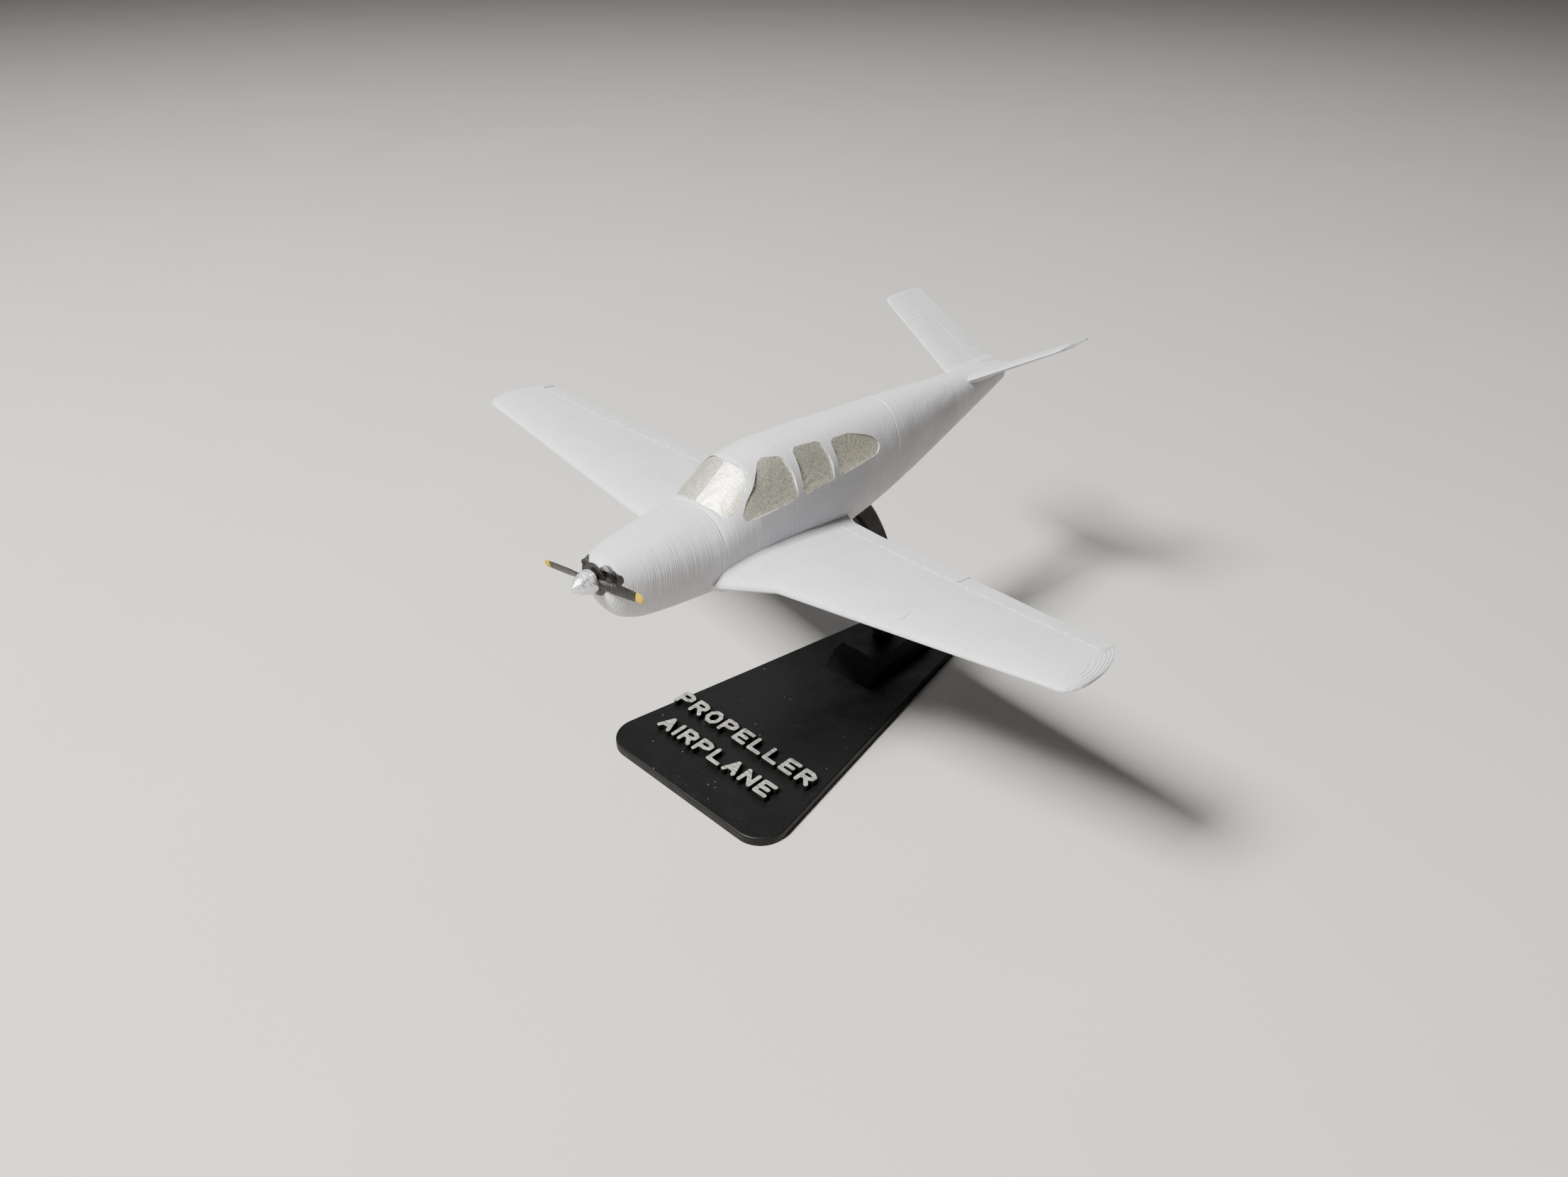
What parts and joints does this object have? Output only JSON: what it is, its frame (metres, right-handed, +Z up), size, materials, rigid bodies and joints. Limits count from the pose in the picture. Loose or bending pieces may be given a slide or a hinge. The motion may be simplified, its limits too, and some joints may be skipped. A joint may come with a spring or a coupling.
{
  "type": "propeller plane model",
  "caption": "Small low-wing propeller aeroplane display model with a V tail, silver painted windows and a turning propeller, plugged onto a curved arm on a tapered black stand.",
  "frame": {"origin": "on the table, on the underside of the stand's plate, straight below the point where the two wing planes meet on the aeroplane's middle plane", "axes": "+Z up, -Y towards the nose and the front of the stand, +X towards the aeroplane's left wing tip"},
  "size_m": [0.1464, 0.1187, 0.0759],
  "materials": {
    "grey_paint": "matte cool grey brush paint over printed plastic",
    "window_silver": "metallic silver paint with coarse flakes",
    "bright_silver": "bright silver paint, wrinkled",
    "black_paint": "satin black paint",
    "yellow_paint": "yellow paint",
    "black_plastic": "satin black printed plastic",
    "title_plastic": "black plastic with silver painted tops",
    "raw_pins": "bare filament rod",
    "steel_pin": "bright drawn steel pin"
  },
  "bodies": {
    "stand": {"base_plate": "black_plastic", "socket_block": "black_plastic", "title_back_row": "title_plastic", "title_front_row": "title_plastic"},
    "arm": {"arm": "black_plastic"},
    "aeroplane": {"fuselage_front": "grey_paint", "fuselage_rear": "grey_paint", "fuselage_dowels": "raw_pins", "left_wing": "grey_paint", "right_wing": "grey_paint", "wing_pins": "raw_pins", "left_tail": "grey_paint", "right_tail": "grey_paint", "inlet_inserts": "black_paint", "nose_ring": "black_paint", "windscreen_left": "window_silver", "windscreen_right": "window_silver", "side_window_1_left": "window_silver", "side_window_1_right": "window_silver", "side_window_2_left": "window_silver", "side_window_2_right": "window_silver", "side_window_3_left": "window_silver", "side_window_3_right": "window_silver"},
    "propeller": {"propeller": "black_paint", "propeller_tips": "yellow_paint", "spinner": "bright_silver", "prop_shaft": "steel_pin"}
  },
  "joints": [
    {"name": "arm_unplug", "type": "slide", "parent": "stand", "child": "arm", "axis": [0, 0, 1], "range_m": [0, 0.008]},
    {"name": "aeroplane_unplug", "type": "slide", "parent": "arm", "child": "aeroplane", "axis": [0, -0.6157, 0.788], "range_m": [0, 0.012]},
    {"name": "propeller_spin", "type": "hinge", "parent": "aeroplane", "child": "propeller", "pos_m": [0, -0.04356, 0.05803], "axis": [0, 0.9995, -0.0305], "continuous": true}
  ]
}
